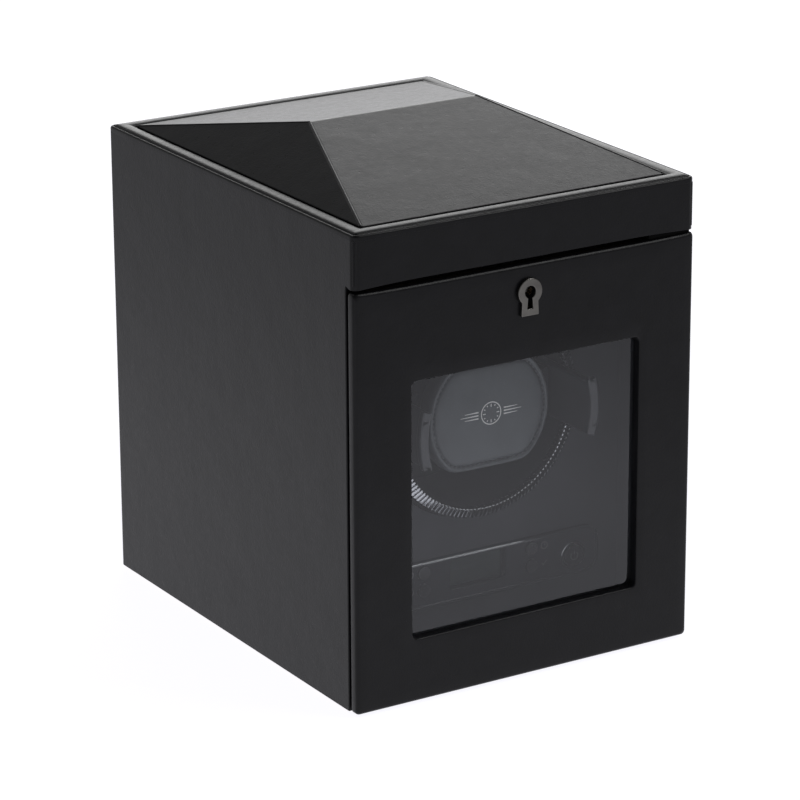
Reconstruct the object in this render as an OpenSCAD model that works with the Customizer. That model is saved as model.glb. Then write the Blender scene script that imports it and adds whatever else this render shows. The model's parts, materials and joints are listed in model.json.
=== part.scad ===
// Watch winder box: a leather-covered wooden case with a hipped roof, a glazed door
// with a lock, and a motor-driven drum that turns a watch cuff behind the glass.
// Millimetres. +Z is up and the door faces -Y. The origin is at the middle of the base.

/* [Case] */
// Width of the case over the leather
box_w = 158; // [156:0.5:160]
// Depth of the case over the leather, door included
box_d = 197; // [195:0.5:200]
// Height of the four walls
wall_h = 197; // [196:0.5:199]
// Height of the roof ridge above the table
apex_h = 214; // [208:0.5:220]
// Thickness of the wooden boards
board_t = 7; // [6.5:0.1:7.2]
// Thickness of the leather covering
leather_t = 1; // [0.8:0.1:1.2]
// Radius of the upright corners of the case
corner_r = 3; // [2.2:0.1:3.2]
// Thickness of the felt under the base
felt_t = 1.2; // [1:0.1:1.4]

/* [Roof] */
// Width of the rim round the roof
rim_w = 8; // [7.8:0.1:8.4]
// Height of the rim
rim_h = 3; // [2.5:0.1:3]
// Gap between the roof and the rim
roof_gap = 0.8; // [0.5:0.1:1]
// Half the length of the ridge
ridge_half = 39.5; // [30:0.5:45]

/* [Door] */
// Underside of the header above the door
header_z = 175.5; // [175:0.1:176]
// Gap between the header and the door
door_gap = 2.5; // [2:0.1:2.8]
// Thickness of the leather-covered door slab
door_t = 4.5; // [4.3:0.1:4.6]
// Gap behind the door slab
reveal = 2.5; // [2.5:0.1:2.7]
// Width and height of the window
window = 108; // [100:1:110]
// Underside of the window
window_z = 27; // [25:0.5:28]
// Thickness of the glass
glass_t = 2; // [1.8:0.1:2.2]
// Distance that the lock bolt rises
bolt_travel = 7.5; // [6:0.5:7.5]

/* [Drum] */
// Height of the drum's axis
drum_z = 104; // [103:0.5:105]
// Outer radius of the drum shell
shell_r = 44.6; // [44:0.1:44.8]
// Wall thickness of the drum shell
shell_t = 1.5; // [1.2:0.1:1.6]
// Outer radius of the ribbed ring
ring_r = 45.2; // [45:0.1:45.6]
// Inner radius of the ribbed ring
ring_inner_r = 41.3; // [41.2:0.1:41.6]
// Half the angle that each arm spans
arm_half = 17; // [14:0.5:18]

/* [Cuff] */
// Radius of the watch cuff's rounded left and right sides
cuff_r = 28.75; // [27:0.25:29]
// Height of the watch cuff between its flat top and bottom
cuff_h = 46; // [44:0.5:46]
// Distance that the sprung saddle moves
saddle_travel = 3.5; // [2:0.5:4]

/* [Gears] */
// Size of the gear teeth
gear_module = 1; // [1]
// Teeth on the drum gear
gear_teeth = 72; // [72]
// Teeth on the motor pinion
pinion_teeth = 18; // [18]
// Play between the teeth
backlash = 0.3; // [0.2:0.05:0.4]

/* [Hidden] */
$fn = 72;

half_w = box_w / 2;
board_x = half_w - leather_t;
inner_x = board_x - board_t;
base_z = felt_t;
floor_z = base_z + board_t;
wall_top = wall_h - rim_h;
case_y = door_t + reveal;
case_board_y = case_y + leather_t;
front_board_y = leather_t;
back_y = box_d;
back_board_y = back_y - leather_t;
back_inner_y = back_board_y - board_t;
ceiling_z = 184;
header_board_z = header_z + leather_t;
header_t = board_t;
top_board_t = 6;
roof_base_z = ceiling_z + top_board_t;
roof_edge_z = wall_h - 0.2;
strike_block_y = 13;

baffle_y = 38;
baffle_t = 4;
drum_hole_r = ring_r + 1.3;
lining_t = 0.8;

door_bottom = felt_t;
door_top = header_z - door_gap;
door_roll_r = door_t / 2 - 0.02;
window_r = 2.6;
glass_overlap = 5;
glass_y = door_t + 0.5;
inner_frame_x = 69.5;
inner_frame_y = 10.5;
inner_frame_z = [10, 172];
inner_window = window + 4;

lock_z = 162;
lock_half_w = 16;
lock_bottom = 144;
lock_top = 171.5;
lock_wall = 1;
bolt_half_w = 6;
bolt_y = [6.7, 8.3];
bolt_z = [150, 171.2];
bolt_window_z = [153, 167.5];
bolt_play = 0.3;
plate_proud = 1.6;

hinge_x = half_w - 1.4;
hinge_y = door_t + 1.25;
hinge_r = 1.25;
hinge_pin_r = 0.55;
hinge_len = 24;
hinge_zs = [30, 150];
knuckle_len = 7.9;
leaf_t = 0.7;

fascia_y = 35.5;
fascia_w = 118;
fascia_h = 20;
fascia_z = 33;
lens_w = 27;
lens_h = 13;
lens_z = 35;
board_y = 44;
button_r = 2.8;
button_zs = [38.6, 31];
button_x = 26;
power_x = 46.5;
power_z = 31.5;
power_r = 4.6;
flange_y = 38.2;
flange_w = 0.7;
stem_r = 1.5;
stem_end = 42.2;
press = 0.8;

ring_y = 30;
shell_y = 33.5;
disc_y = 80;
disc_t = 3;
arm_r = 38.2;
arm_t = 2.8;
arm_y = 11.6;
lip_t = 3;
lip_r = 42.5;
shaft_r = 4;
shaft_play = 0.04;
screw_ring_r = 10;
gear_y = 108;
gear_t = 6;
gear_distance = gear_module * (gear_teeth + pinion_teeth) / 2;
motor_z = drum_z - gear_distance;
pinion_shaft_r = 3;
pressure_angle = 20;

bracket_half_w = 30;
bracket_t = 2.5;
bracket_ys = [98, 124];
bracket_base_t = 2;
bush_r = 6;
gearbox_end = 148;
motor_end = 172;

cuff_y = 26;
cuff_frame_y = 36;
cuff_frame_end = 58;
saddle_y = 64;
saddle_end = 72;
post_r = 2.5;
post_y = 46;
post_offset = 13;
spring_r = 3.8;
spring_wire = 0.45;
spring_y = 54;
spring_turns = 5;

jack_x = 40;
jack_z = 28;
lead_r = 1.2;
jack_route = [
    [40, 179, 28], [40, 172, 27], [44, 160, 16], [54, 140, 10.5], [56, 110, 10],
    [56, 80, 10], [54, 62, 14], [52, 54, 25], [52, 49, 30], [52, 45.8, 30.6]
];
motor_route = [
    [-6, 174, 59], [-8, 178, 56], [-22, 176, 34], [-44, 160, 12], [-52, 130, 10],
    [-52, 90, 10], [-50, 62, 14], [-48, 54, 25], [-48, 49, 30], [-48, 45.8, 30.6]
];

// A box given by its ranges; y is the distance behind the door's front face
module span(x, y, z) {
    translate([x[0], y[0] - box_d / 2, z[0]])
        cube([x[1] - x[0], y[1] - y[0], z[1] - z[0]]);
}

// A flat outline drawn in x and z, standing from y[0] to y[1]
module upright(y) {
    translate([0, y[1] - box_d / 2, 0])
        rotate([90, 0, 0])
            linear_extrude(height = y[1] - y[0])
                children();
}

// A flat outline drawn in y and z, standing across x[0] to x[1]
module across(x) {
    translate([x[0], -box_d / 2, 0])
        rotate([90, 0, 90])
            linear_extrude(height = x[1] - x[0])
                children();
}

// A flat outline drawn in x and y, rising from z[0] to z[1]
module rising(z) {
    translate([0, -box_d / 2, z[0]])
        linear_extrude(height = z[1] - z[0])
            children();
}

// A rod along y
module rod(x, z, r, y) {
    translate([x, y[0] - box_d / 2, z])
        rotate([-90, 0, 0])
            cylinder(r = r, h = y[1] - y[0]);
}

// A profile of radius and y, turned about the drum's axis
module turned(angle = 360, start = 0) {
    translate([0, -box_d / 2, drum_z])
        rotate([-90, 0, 0])
            rotate([0, 0, start])
                rotate_extrude(angle = angle)
                    children();
}

module rounded_rect(w, h, r) {
    square([w - 2 * r, h], center = true);
    square([w, h - 2 * r], center = true);
    for (x = [-1, 1], y = [-1, 1])
        translate([x * (w / 2 - r), y * (h / 2 - r)])
            circle(r = r);
}

// The plan of the case from y0 to the back
module case_plan(y0, inset = 0) {
    depth = back_y - y0;
    translate([0, y0 + depth / 2])
        rounded_rect(box_w - 2 * inset, depth - 2 * inset, corner_r);
}

module keyhole_shape() {
    translate([0, lock_z])
        circle(r = 2.5);
    polygon([
        [-0.95, lock_z], [0.95, lock_z],
        [1.35, lock_z - 6.8], [-1.35, lock_z - 6.8]
    ]);
}

module window_shape(size) {
    translate([0, window_z + window / 2])
        rounded_rect(size, size, window_r);
}

// A hipped block: a flat base, short upright sides and four sloping facets
module hip(x, y, z_base, z_edge, z_ridge, ridge) {
    mid = (y[0] + y[1]) / 2;
    points = [
        [-x, y[0], z_base], [x, y[0], z_base], [x, y[1], z_base], [-x, y[1], z_base],
        [-x, y[0], z_edge], [x, y[0], z_edge], [x, y[1], z_edge], [-x, y[1], z_edge],
        [-ridge, mid, z_ridge], [ridge, mid, z_ridge]
    ];
    faces = [
        [0, 1, 2, 3], [4, 5, 1, 0], [5, 6, 2, 1], [6, 7, 3, 2], [7, 4, 0, 3],
        [4, 8, 9, 5], [6, 9, 8, 7], [5, 9, 6], [7, 8, 4]
    ];
    translate([0, -box_d / 2, 0])
        polyhedron(points = points, faces = faces);
}

function unit(v) = v / norm(v);
function across_to(u, t) = unit(u - (u * t) * t);
function spline_point(a, b, c, d, t) =
    0.5 * (2 * b + (c - a) * t + (2 * a - 5 * b + 4 * c - d) * t * t
        + (3 * b - a - 3 * c + d) * t * t * t);
// A smooth curve through the points of a route
function smooth(route, steps) = [
    for (i = [0:len(route) - 2], k = [0:steps - 1])
        spline_point(
            route[max(i - 1, 0)], route[i], route[i + 1],
            route[min(i + 2, len(route) - 1)], k / steps),
    route[len(route) - 1]
];
function tangents(path) = [
    for (i = [0:len(path) - 1])
        unit(path[min(i + 1, len(path) - 1)] - path[max(i - 1, 0)])
];
function sides_along(t) = [
    for (i = 0, u = across_to([1, 0.2, 0.1], t[0]); i < len(t);
        u = across_to(u, t[min(i + 1, len(t) - 1)]), i = i + 1) u
];

// A round wire swept along a path
module wire(path, r, sides = 8) {
    t = tangents(path);
    u = sides_along(t);
    n = len(path);
    points = [
        for (i = [0:n - 1], k = [0:sides - 1])
            let (a = 360 * k / sides)
                path[i] + r * (cos(a) * u[i] + sin(a) * cross(t[i], u[i]))
    ];
    walls = [
        for (i = [0:n - 2], k = [0:sides - 1])
            let (j = (k + 1) % sides)
                [i * sides + k, (i + 1) * sides + k, (i + 1) * sides + j, i * sides + j]
    ];
    ends = [
        [for (k = [0:sides - 1]) k],
        [for (k = [0:sides - 1]) n * sides - 1 - k]
    ];
    translate([0, -box_d / 2, 0])
        polyhedron(points = points, faces = concat(walls, ends));
}

// Involute gear teeth
function involute_gap(a) = tan(a) * 180 / PI - a;
function tooth_half(r, teeth) =
    let (pitch = gear_module * teeth / 2, base = pitch * cos(pressure_angle))
    90 / teeth - backlash / 4 / pitch * 180 / PI + involute_gap(pressure_angle)
        - involute_gap(acos(min(1, base / r)));
function polar(r, a) = [r * cos(a), r * sin(a)];
function gear_outline(teeth, turn) =
    let (
        pitch = gear_module * teeth / 2,
        base = pitch * cos(pressure_angle),
        root = pitch - 1.25 * gear_module,
        tip = pitch + gear_module,
        low = max(base, root),
        radii = [for (k = [0:3]) low + (tip - low) * k / 3]
    )
    [
        for (i = [0:teeth - 1])
            let (mid = turn + 360 * i / teeth)
                each concat(
                    [polar(root, mid - tooth_half(low, teeth) - 0.3)],
                    [for (r = radii) polar(r, mid - tooth_half(r, teeth))],
                    [for (k = [3:-1:0]) polar(radii[k], mid + tooth_half(radii[k], teeth))],
                    [polar(root, mid + tooth_half(low, teeth) + 0.3)]
                )
    ];

module gear(teeth, turn, z, y, bore) {
    translate([0, y[0] - box_d / 2, z])
        rotate([-90, 0, 0])
            linear_extrude(height = y[1] - y[0])
                difference() {
                    polygon(gear_outline(teeth, turn));
                    circle(r = bore);
                }
}

// ---- Case ----

module side_panel(side) {
    x = side > 0 ? [inner_x, board_x] : [-board_x, -inner_x];
    across(x)
        polygon([
            [case_board_y, base_z], [back_board_y, base_z], [back_board_y, wall_top],
            [front_board_y, wall_top], [front_board_y, header_board_z],
            [case_board_y, header_board_z]
        ]);
}

module side_panel_left() {
    color("burlywood")
        side_panel(-1);
}

module side_panel_right() {
    color("burlywood")
        side_panel(1);
}

module back_panel() {
    color("burlywood")
        difference() {
            span([-inner_x, inner_x], [back_inner_y, back_board_y], [base_z, wall_top]);
            rod(jack_x, jack_z, 5.5, [back_inner_y - 1, back_board_y + 1]);
        }
}

module bottom_panel() {
    color("burlywood")
        difference() {
            span([-inner_x, inner_x], [case_board_y, back_inner_y], [base_z, floor_z]);
            for (x = [-22, 22], y = [104, 120])
                translate([x, y - box_d / 2, base_z + 2])
                    cylinder(r = 1.5, h = board_t);
        }
}

module top_panel() {
    color("burlywood")
        span([-inner_x, inner_x], [front_board_y + header_t, back_inner_y],
            [ceiling_z, roof_base_z]);
}

module header_board() {
    back = front_board_y + header_t;
    color("burlywood")
        difference() {
            across([-inner_x, inner_x])
                polygon([
                    [front_board_y, header_board_z], [case_board_y, header_board_z],
                    [case_board_y, header_z], [strike_block_y, header_z],
                    [strike_block_y, ceiling_z], [back, ceiling_z],
                    [back, wall_top], [front_board_y, wall_top]
                ]);
            bolt_hole([header_z - 1, bolt_z[1] + bolt_travel + 1]);
        }
}

module bolt_hole(z) {
    span([-bolt_half_w - bolt_play, bolt_half_w + bolt_play],
        [bolt_y[0] - bolt_play, bolt_y[1] + bolt_play], z);
}

module case_leather() {
    color([0.11, 0.11, 0.12])
        difference() {
            union() {
                rising([base_z, wall_top])
                    case_plan(case_y);
                rising([header_z, wall_top])
                    case_plan(0);
            }
            across([-board_x, board_x])
                polygon([
                    [case_board_y, 0], [back_board_y, 0], [back_board_y, wall_h],
                    [front_board_y, wall_h], [front_board_y, header_board_z],
                    [case_board_y, header_board_z]
                ]);
            span([-inner_x, inner_x], [case_y - 1, case_board_y + 1],
                [floor_z, header_z]);
            bolt_hole([header_z - 1, header_board_z + 1]);
            rod(jack_x, jack_z, 5.5, [back_board_y - 1, back_y + 1]);
        }
}

module top_rim() {
    color([0.13, 0.13, 0.14])
        rising([wall_top, wall_h])
            difference() {
                case_plan(0);
                translate([0, box_d / 2])
                    rounded_rect(box_w - 2 * rim_w, box_d - 2 * rim_w, 1);
            }
}

module roof_core() {
    inset = rim_w + roof_gap + leather_t;
    color("burlywood")
        hip(half_w - inset, [inset, box_d - inset], roof_base_z, roof_edge_z - leather_t,
            apex_h - leather_t, ridge_half - leather_t);
}

module roof_leather() {
    inset = rim_w + roof_gap;
    color([0.16, 0.16, 0.17])
        difference() {
            hip(half_w - inset, [inset, box_d - inset], roof_base_z, roof_edge_z,
                apex_h, ridge_half);
            hip(half_w - inset - leather_t, [inset + leather_t, box_d - inset - leather_t],
                roof_base_z - 1, roof_edge_z - leather_t, apex_h - leather_t,
                ridge_half - leather_t);
        }
}

module base_felt() {
    color([0.08, 0.08, 0.08])
        rising([0, felt_t])
            translate([0, 102])
                rounded_rect(box_w - 8, 182, 4);
}

// ---- Front of the cavity ----

module baffle() {
    color([0.1, 0.1, 0.105])
        difference() {
            span([-inner_x, inner_x], [baffle_y, baffle_y + baffle_t],
                [floor_z, ceiling_z]);
            rod(0, drum_z, drum_hole_r, [baffle_y - 1, baffle_y + baffle_t + 1]);
            span([-12.6, 12.6], [baffle_y - 1, baffle_y + baffle_t + 1],
                [lens_z - 6.1, lens_z + 6.1]);
            for (x = [-button_x, button_x], z = button_zs)
                rod(x, z, button_r + flange_w + 0.15,
                    [baffle_y - 1, baffle_y + baffle_t + 1]);
            rod(power_x, power_z, power_r + flange_w + 0.5,
                [baffle_y - 1, baffle_y + baffle_t + 1]);
        }
}

module cavity_lining() {
    color([0.09, 0.09, 0.095])
        difference() {
            span([-inner_x, inner_x], [strike_block_y, baffle_y], [floor_z, ceiling_z]);
            span([-inner_x + lining_t, inner_x - lining_t],
                [strike_block_y - 1, baffle_y + 1],
                [floor_z + lining_t, ceiling_z - lining_t]);
        }
}

module fascia() {
    color([0.05, 0.05, 0.055])
        difference() {
            upright([fascia_y, baffle_y])
                translate([0, fascia_z])
                    rounded_rect(fascia_w, fascia_h, 6);
            upright([fascia_y - 1, baffle_y + 1])
                translate([0, lens_z])
                    rounded_rect(lens_w, lens_h, 1.5);
            for (x = [-button_x, button_x], z = button_zs)
                rod(x, z, button_r + 0.15, [fascia_y - 1, baffle_y + 1]);
            rod(power_x, power_z, power_r + 0.8, [fascia_y - 1, baffle_y + 1]);
        }
}

module display_lens() {
    color([0.2, 0.22, 0.22, 0.6])
        upright([fascia_y, fascia_y + 1.6])
            translate([0, lens_z])
                rounded_rect(lens_w - 0.2, lens_h - 0.2, 1.4);
}

module lcd_module() {
    color([0.35, 0.38, 0.34])
        span([-12, 12], [baffle_y - 0.6, board_y], [lens_z - 5.5, lens_z + 5.5]);
}

module control_board() {
    color([0.05, 0.25, 0.12])
        union() {
            span([-56, 56], [board_y, board_y + 1.6], [22, 44]);
            for (x = [-52, 52], z = [25, 41])
                rod(x, z, 2, [baffle_y + baffle_t, board_y]);
        }
}

module tact_switches() {
    color([0.12, 0.12, 0.12])
        for (p = concat([for (x = [-button_x, button_x], z = button_zs) [x, z]],
            [[power_x, power_z]]))
            difference() {
                span([p[0] - 2.4, p[0] + 2.4], [41, board_y], [p[1] - 2.4, p[1] + 2.4]);
                rod(p[0], p[1], stem_r + 0.25, [40, stem_end + press + 0.4]);
            }
}

module push_button(x, z, r, front) {
    rod(x, z, r, [front, flange_y]);
    rod(x, z, r + flange_w, [flange_y, flange_y + 1]);
    rod(x, z, stem_r, [flange_y + 1, stem_end]);
}

module mode_button() {
    color([0.14, 0.14, 0.145])
        push_button(-button_x, button_zs[0], button_r, 34.7);
}

module turns_button() {
    color([0.14, 0.14, 0.145])
        push_button(-button_x, button_zs[1], button_r, 34.7);
}

module delay_button() {
    color([0.14, 0.14, 0.145])
        push_button(button_x, button_zs[0], button_r, 34.7);
}

module set_button() {
    color([0.14, 0.14, 0.145])
        push_button(button_x, button_zs[1], button_r, 34.7);
}

module power_button() {
    color([0.14, 0.14, 0.145])
        push_button(power_x, power_z, power_r, 34.2);
}

module power_ring() {
    color([0.7, 0.7, 0.72])
        difference() {
            union() {
                rod(power_x, power_z, power_r + 1.4, [fascia_y - 0.6, fascia_y]);
                rod(power_x, power_z, power_r + 0.8, [fascia_y, baffle_y]);
            }
            rod(power_x, power_z, power_r + 0.2, [fascia_y - 1, baffle_y + 1]);
        }
}

// ---- Drive ----

module dc_jack() {
    color([0.1, 0.1, 0.1])
        union() {
            difference() {
                union() {
                    rod(jack_x, jack_z, 5.5, [179, back_y]);
                    rod(jack_x, jack_z, 8, [back_y, back_y + plate_proud]);
                    rod(jack_x, jack_z, 7.5, [back_inner_y - 2, back_inner_y]);
                }
                rod(jack_x, jack_z, 3.2, [187, back_y + 2]);
            }
            rod(jack_x, jack_z, 1, [186, back_y - 0.5]);
        }
}

module jack_lead() {
    color([0.08, 0.08, 0.08])
        wire(smooth(jack_route, 5), lead_r);
}

module motor_lead() {
    color([0.5, 0.08, 0.08])
        wire(smooth(motor_route, 5), lead_r);
}

module drum_bracket() {
    top = drum_z + 20;
    color([0.55, 0.56, 0.58])
        difference() {
            union() {
                for (y = bracket_ys)
                    span([-bracket_half_w, bracket_half_w], [y, y + bracket_t],
                        [floor_z, top]);
                span([-bracket_half_w, bracket_half_w],
                    [bracket_ys[0], bracket_ys[1] + bracket_t],
                    [floor_z, floor_z + bracket_base_t]);
            }
            rod(0, drum_z, bush_r, [bracket_ys[0] - 1, bracket_ys[1] + bracket_t + 1]);
            rod(0, motor_z, 7, [bracket_ys[0] - 1, bracket_ys[1] + bracket_t + 1]);
            for (x = [-22, 22], y = [104, 120])
                translate([x, y - box_d / 2, floor_z - 1])
                    cylinder(r = 1.5, h = bracket_base_t + 2);
        }
}

module shaft_bushings() {
    front = bracket_ys[0];
    rear = bracket_ys[1] + bracket_t;
    color([0.72, 0.5, 0.25])
        difference() {
            union() {
                rod(0, drum_z, bush_r, [front, front + bracket_t]);
                rod(0, drum_z, bush_r + 2, [front - 1.2, front]);
                rod(0, drum_z, bush_r, [rear - bracket_t, rear]);
                rod(0, drum_z, bush_r + 2, [rear, rear + 1.2]);
            }
            rod(0, drum_z, shaft_r + shaft_play, [front - 2, rear + 2]);
        }
}

module bracket_screws() {
    color([0.7, 0.7, 0.72])
        for (x = [-22, 22], y = [104, 120])
            translate([x, y - box_d / 2, 0]) {
                translate([0, 0, base_z + 2])
                    cylinder(r = 1.5, h = floor_z + bracket_base_t - base_z - 2);
                translate([0, 0, floor_z + bracket_base_t])
                    cylinder(r = 3, h = 1.8);
            }
}

module gearbox() {
    rear = bracket_ys[1] + bracket_t;
    color([0.6, 0.61, 0.63])
        difference() {
            union() {
                rod(0, motor_z, 18.5, [rear, gearbox_end]);
                rod(0, motor_z, 7, [bracket_ys[1], rear]);
            }
            rod(0, motor_z, pinion_shaft_r + shaft_play, [bracket_ys[1] - 1, rear + 8]);
        }
}

module motor() {
    color([0.3, 0.31, 0.33])
        union() {
            rod(0, motor_z, 17, [gearbox_end, motor_end]);
            rod(0, motor_z, 5, [motor_end, motor_end + 2]);
            for (x = [-7, 7])
                span([x - 1.5, x + 1.5], [motor_end, motor_end + 2],
                    [motor_z - 0.4, motor_z + 0.4]);
        }
}

module drum_shell() {
    inner = shell_r - shell_t;
    color([0.07, 0.07, 0.075])
        difference() {
            turned()
                polygon([
                    [5, disc_y], [inner, disc_y], [inner, shell_y], [shell_r, shell_y],
                    [shell_r, disc_y + disc_t], [5, disc_y + disc_t]
                ]);
            for (a = [30, 150, 270])
                rod(screw_ring_r * cos(a), drum_z + screw_ring_r * sin(a), 1.6,
                    [disc_y - 1, disc_y + disc_t + 1]);
        }
}

module drum_ring() {
    color([0.5, 0.5, 0.52])
        turned()
            polygon([
                [ring_inner_r, ring_y], [ring_r, ring_y + 1.5], [ring_r, shell_y + 2.5],
                [shell_r + 0.05, shell_y + 2.5], [shell_r + 0.05, shell_y],
                [ring_inner_r, shell_y]
            ]);
}

module drum_arms() {
    outer = arm_r + arm_t;
    color([0.08, 0.08, 0.085])
        for (side = [0, 180])
            turned(2 * arm_half, side - arm_half)
                polygon([
                    [arm_r, arm_y], [lip_r, arm_y], [lip_r, arm_y + lip_t],
                    [outer, arm_y + lip_t], [outer, disc_y], [arm_r, disc_y]
                ]);
}

module drum_shaft() {
    flange_front = disc_y + disc_t;
    color([0.7, 0.71, 0.73])
        difference() {
            union() {
                rod(0, drum_z, shaft_r, [flange_front, 132]);
                rod(0, drum_z, 14, [flange_front, flange_front + 3]);
                rod(0, drum_z, 8, [flange_front + 3, 96]);
            }
            for (a = [30, 150, 270])
                rod(screw_ring_r * cos(a), drum_z + screw_ring_r * sin(a), 1.5,
                    [flange_front - 1, flange_front + 4]);
            turned()
                translate([3.2, 128.6])
                    square([2, 1]);
        }
}

module drum_gear() {
    color([0.85, 0.84, 0.78])
        union() {
            gear(gear_teeth, 90, drum_z, [gear_y, gear_y + gear_t], shaft_r);
            difference() {
                rod(0, drum_z, 9, [gear_y - 4, gear_y]);
                rod(0, drum_z, shaft_r, [gear_y - 5, gear_y + 1]);
            }
        }
}

module drum_screws() {
    color([0.7, 0.7, 0.72])
        for (a = [30, 150, 270]) {
            x = screw_ring_r * cos(a);
            z = drum_z + screw_ring_r * sin(a);
            rod(x, z, 1.5, [disc_y, disc_y + disc_t + 3]);
            rod(x, z, 2.8, [disc_y - 1.6, disc_y]);
        }
}

module shaft_clip() {
    color([0.4, 0.4, 0.42])
        turned(300, 120)
            translate([3.2, 128.6])
                square([3, 1]);
}

module motor_pinion() {
    color([0.8, 0.65, 0.35])
        union() {
            gear(pinion_teeth, 90 + 180 / pinion_teeth + 180, motor_z,
                [gear_y - 1.5, gear_y + gear_t + 1.5], pinion_shaft_r - 1);
            rod(0, motor_z, pinion_shaft_r, [gear_y - 3, 133]);
        }
}

// ---- Watch cuff ----

module cuff_outline(r, h) {
    translate([0, drum_z])
        intersection() {
            circle(r = r);
            square([3 * r, h], center = true);
        }
}

module cuff_pad() {
    color([0.3, 0.3, 0.32])
        upright([cuff_y, cuff_frame_y])
            cuff_outline(cuff_r, cuff_h);
}

module cuff_frame() {
    color([0.09, 0.09, 0.095])
        difference() {
            union() {
                upright([cuff_frame_y, cuff_frame_end])
                    cuff_outline(cuff_r - 2, cuff_h - 3);
                span([-36.6, 36.6], [40, 56], [drum_z - 9, drum_z + 9]);
            }
            for (side = [-1, 1]) {
                rod(0, drum_z + side * post_offset, post_r + 0.08,
                    [post_y - saddle_travel - 1.5, cuff_frame_end + 1]);
                rod(0, drum_z + side * post_offset, spring_r + 0.9,
                    [spring_y, cuff_frame_end + 1]);
            }
        }
}

module cuff_saddle() {
    color([0.09, 0.09, 0.095])
        union() {
            upright([saddle_y, saddle_end])
                cuff_outline(cuff_r - 0.75, cuff_h - 2);
            for (side = [-1, 1])
                rod(0, drum_z + side * post_offset, post_r, [post_y, saddle_y]);
        }
}

module cuff_springs() {
    steps = 14;
    rise = saddle_y - spring_y - 2 * spring_wire - 0.1;
    start = spring_y + spring_wire + 0.05;
    color([0.7, 0.7, 0.72])
        for (side = [-1, 1])
            wire([
                for (i = [0:spring_turns * steps])
                    let (a = 360 * i / steps)
                        [spring_r * cos(a), start + rise * i / spring_turns / steps,
                            drum_z + side * post_offset + spring_r * sin(a)]
            ], spring_wire, 6);
}

// ---- Door ----

module door_plan() {
    translate([0, door_t / 2])
        rounded_rect(box_w, door_t, door_roll_r);
}

module door_board() {
    color("burlywood")
        difference() {
            span([-board_x - 0.2, board_x + 0.2], [leather_t, door_t - 0.6],
                [door_bottom + leather_t, door_top - leather_t]);
            upright([0, door_t + 1])
                window_shape(window + 2 * leather_t);
            upright([0, door_t + 1])
                keyhole_shape();
        }
}

module door_leather() {
    color([0.12, 0.12, 0.125])
        difference() {
            rising([door_bottom, door_top])
                door_plan();
            difference() {
                span([-board_x - 0.2, board_x + 0.2], [leather_t, door_t - 0.6],
                    [door_bottom + leather_t, door_top - leather_t]);
                upright([0, door_t + 1])
                    window_shape(window + 2 * leather_t);
            }
            upright([-1, door_t + 1])
                window_shape(window);
            upright([-1, door_t + 1])
                keyhole_shape();
        }
}

module door_glass() {
    color([0.5, 0.52, 0.55, 0.35])
        upright([glass_y, glass_y + glass_t])
            window_shape(window + 2 * glass_overlap);
}

module door_inner_frame() {
    mid = (inner_frame_z[0] + inner_frame_z[1]) / 2;
    color([0.09, 0.09, 0.095])
        difference() {
            upright([door_t, inner_frame_y])
                translate([0, mid])
                    rounded_rect(2 * inner_frame_x, inner_frame_z[1] - inner_frame_z[0], 1);
            upright([door_t - 1, glass_y + glass_t])
                window_shape(window + 2 * glass_overlap);
            upright([door_t - 1, inner_frame_y + 1])
                window_shape(inner_window);
            span([-lock_half_w, lock_half_w], [door_t - 1, inner_frame_y + 1],
                [lock_bottom, inner_frame_z[1] + 1]);
        }
}

module escutcheon() {
    color([0.42, 0.41, 0.4])
        difference() {
            union() {
                rod(0, lock_z, 5.5, [-plate_proud, 0]);
                upright([-plate_proud, 0])
                    polygon([
                        [-3.7, lock_z - 3], [3.7, lock_z - 3],
                        [4, lock_z - 9.6], [-4, lock_z - 9.6]
                    ]);
            }
            upright([-plate_proud - 1, 1])
                keyhole_shape();
        }
}

module lock_case() {
    color([0.6, 0.55, 0.4])
        difference() {
            span([-lock_half_w, lock_half_w], [door_t, inner_frame_y - 1],
                [lock_bottom, lock_top]);
            span([-lock_half_w + lock_wall, lock_half_w - lock_wall],
                [door_t + lock_wall, inner_frame_y],
                [lock_bottom + lock_wall, lock_top - lock_wall]);
            bolt_hole([lock_top - 2, lock_top + 1]);
            upright([door_t - 1, door_t + 2])
                keyhole_shape();
        }
}

module lock_cover() {
    color([0.6, 0.55, 0.4])
        union() {
            span([-lock_half_w, lock_half_w], [inner_frame_y - 1, inner_frame_y],
                [lock_bottom, lock_top]);
            rod(0, lock_z, 0.9, [2, inner_frame_y - 1]);
            for (x = [-13, 13], z = [lock_bottom + 3, lock_top - 3])
                rod(x, z, 1.2, [inner_frame_y, inner_frame_y + 0.5]);
        }
}

module lock_spring() {
    color([0.7, 0.7, 0.72])
        union() {
            span([-8.2, -7.6], [7, 8], [149, 166]);
            span([-lock_half_w + lock_wall, -8.2], [7, 8], [149, 149.6]);
        }
}

module lock_bolt() {
    color([0.75, 0.65, 0.4])
        difference() {
            span([-bolt_half_w, bolt_half_w], bolt_y, bolt_z);
            span([-3.6, 3.6], [bolt_y[0] - 1, bolt_y[1] + 1], bolt_window_z);
        }
}

module strike_plate() {
    color([0.75, 0.65, 0.4])
        difference() {
            span([-12, 12], [5, 11.5], [header_z - 0.8, header_z]);
            bolt_hole([header_z - 2, header_z + 1]);
        }
}

module cylinder_at(z0, length, r) {
    translate([hinge_x, hinge_y - box_d / 2, z0])
        cylinder(r = r, h = length);
}

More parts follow.
